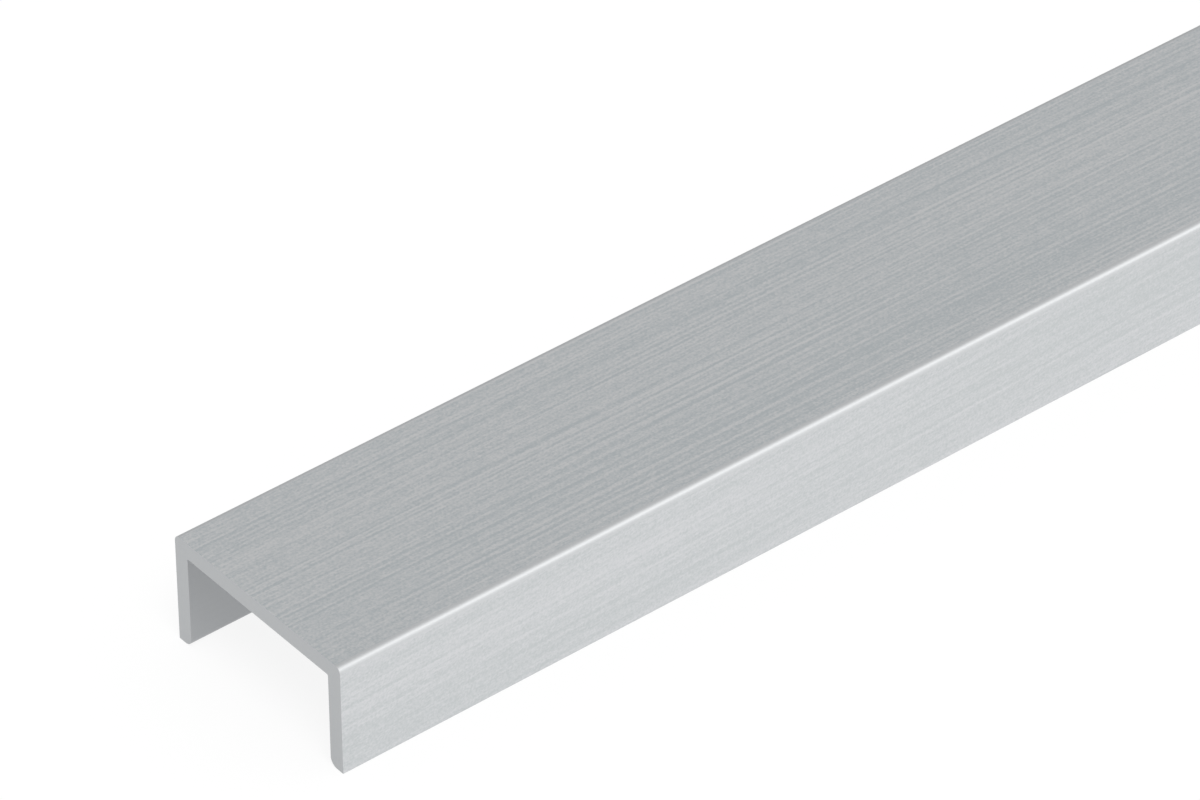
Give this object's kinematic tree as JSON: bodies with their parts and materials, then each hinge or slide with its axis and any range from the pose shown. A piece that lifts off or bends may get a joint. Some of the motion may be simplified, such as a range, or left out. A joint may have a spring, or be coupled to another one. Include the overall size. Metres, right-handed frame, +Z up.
{
  "type": "aluminium u-channel profile",
  "caption": "Straight extruded aluminium U-channel bar with a flat web, short legs and rounded edges, brushed and clear anodised. Stock for edging, guide rails and covers.",
  "frame": {"origin": "middle of the bar's length and width, on the plane of the leg tips, which lie on the floor", "axes": "+Y along the bar's length, +X across its width, +Z up through the web, away from the open side"},
  "size_m": [0.02, 1, 0.01],
  "materials": {
    "anodised_aluminium": "brushed along the length and clear anodised, satin"
  },
  "bodies": {
    "root": {"channel_profile": "anodised_aluminium"}
  },
  "joints": []
}
